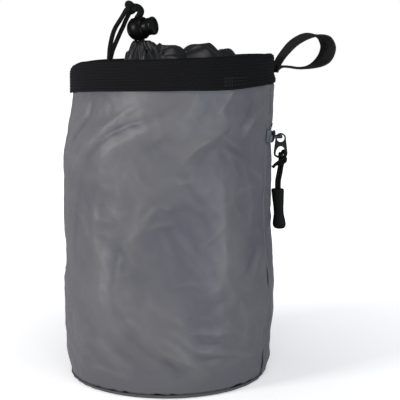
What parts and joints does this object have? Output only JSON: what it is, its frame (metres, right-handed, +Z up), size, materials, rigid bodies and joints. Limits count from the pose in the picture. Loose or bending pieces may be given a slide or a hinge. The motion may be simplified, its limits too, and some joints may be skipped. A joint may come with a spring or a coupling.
{
  "type": "climbing chalk bag",
  "caption": "Round cloth chalk bag with ribbed webbing rim, gathered drawcord collar and ball cord lock, zipped back pocket with corded pull, and webbing carry loop.",
  "frame": {"origin": "middle of the base, on the surface that the bag stands on", "axes": "+Z up through the rim; -Y is the front; +X is the side with the zip pull and the carry loop"},
  "size_m": [0.1693, 0.1308, 0.2278],
  "materials": {
    "body_cloth": "grey coated nylon with a soft sheen",
    "collar_cloth": "thin black nylon, slightly glossy",
    "webbing": "black ribbed webbing, matt",
    "cord": "black braided cord",
    "zip_tape": "blue-grey woven tape and nylon coil",
    "zip_metal": "black lacquered zinc",
    "lock_plastic": "black moulded nylon",
    "grip_rubber": "black moulded soft rubber"
  },
  "bodies": {
    "bag": {"side_wall": "body_cloth", "base_panel": "body_cloth", "pocket_panel": "body_cloth", "pocket_top": "body_cloth", "rim_band": "webbing", "carry_loop": "webbing", "collar": "collar_cloth", "zip_tape": "zip_tape", "zip_coil": "zip_tape", "zip_slider": "zip_metal", "cord_lock_barrel": "lock_plastic", "cord_strand_front": "cord", "cord_strand_back": "cord", "cord_knot": "cord", "cord_loop": "cord"},
    "lock_button": {"cord_lock_button": "lock_plastic"},
    "zip_pull": {"pull_tab": "zip_metal", "pull_cord": "cord", "pull_grip": "grip_rubber"}
  },
  "joints": [
    {"name": "button_press", "type": "slide", "parent": "bag", "child": "lock_button", "axis": [-0.8884, 0.4285, -0.1647], "range_m": [0, 0.002], "stiffness_N_per_m": 400},
    {"name": "pull_swing", "type": "hinge", "parent": "bag", "child": "zip_pull", "pos_m": [0.06955, 0, 0.1475], "axis": [0, -1, 0], "range_deg": [0, 130]}
  ]
}
